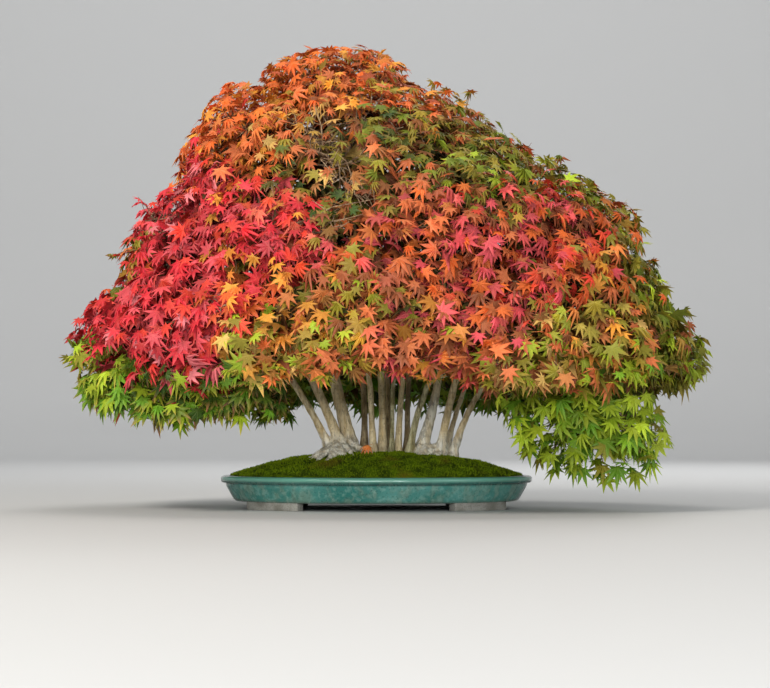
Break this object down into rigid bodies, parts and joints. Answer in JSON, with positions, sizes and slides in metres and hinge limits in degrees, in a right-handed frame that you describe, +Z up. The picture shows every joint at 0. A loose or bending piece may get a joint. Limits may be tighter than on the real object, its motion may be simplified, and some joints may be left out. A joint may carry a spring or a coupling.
{
  "type": "maple bonsai",
  "caption": "Clump-style maple bonsai in autumn colour: pale trunks under a broad dome of palmate leaves, in a shallow oval glazed pot with moss.",
  "frame": {"origin": "on the floor under the middle of the whole tree's bounding box", "axes": "+X along the pot's length, to the viewer's right; -Y towards the viewer; +Z up"},
  "size_m": [1.1104, 0.8796, 0.7977],
  "materials": {
    "leaves_orange": "matte",
    "leaves_crimson": "matte",
    "leaves_pink": "matte",
    "leaves_olive": "matte",
    "leaves_green": "matte",
    "bark": "matte",
    "glaze": "gloss",
    "moss": "matte",
    "soil": "matte",
    "screen": "matte"
  },
  "bodies": {
    "root": {"spray_apex": "leaves_orange", "spray_upper_left": "leaves_orange", "spray_upper_right": "leaves_olive", "spray_upper_front": "leaves_orange", "spray_upper_back": "leaves_orange", "spray_mid_left": "leaves_crimson", "spray_mid_front_left": "leaves_crimson", "spray_mid_front_right": "leaves_pink", "spray_mid_right": "leaves_olive", "spray_mid_back_right": "leaves_olive", "spray_mid_back_left": "leaves_crimson", "spray_low_left": "leaves_crimson", "spray_low_front_left": "leaves_crimson", "spray_low_front": "leaves_pink", "spray_low_front_right": "leaves_pink", "spray_low_right": "leaves_olive", "spray_low_back_right": "leaves_green", "spray_low_back": "leaves_green", "spray_low_back_left": "leaves_green", "spray_skirt_right": "leaves_green", "spray_skirt_left": "leaves_green", "left_clump": "bark", "right_clump": "bark", "trunk_rear_left": "bark", "trunk_front_left": "bark", "trunk_centre": "bark", "trunk_rear_centre": "bark", "trunk_thin_front": "bark", "trunk_right_of_centre": "bark", "trunk_rear_right": "bark", "trunk_mottled": "bark", "pot": "glaze", "moss": "moss", "soil": "soil", "drain_screen_left": "screen", "drain_screen_right": "screen", "fallen_leaf": "leaves_orange"}
  },
  "joints": []
}
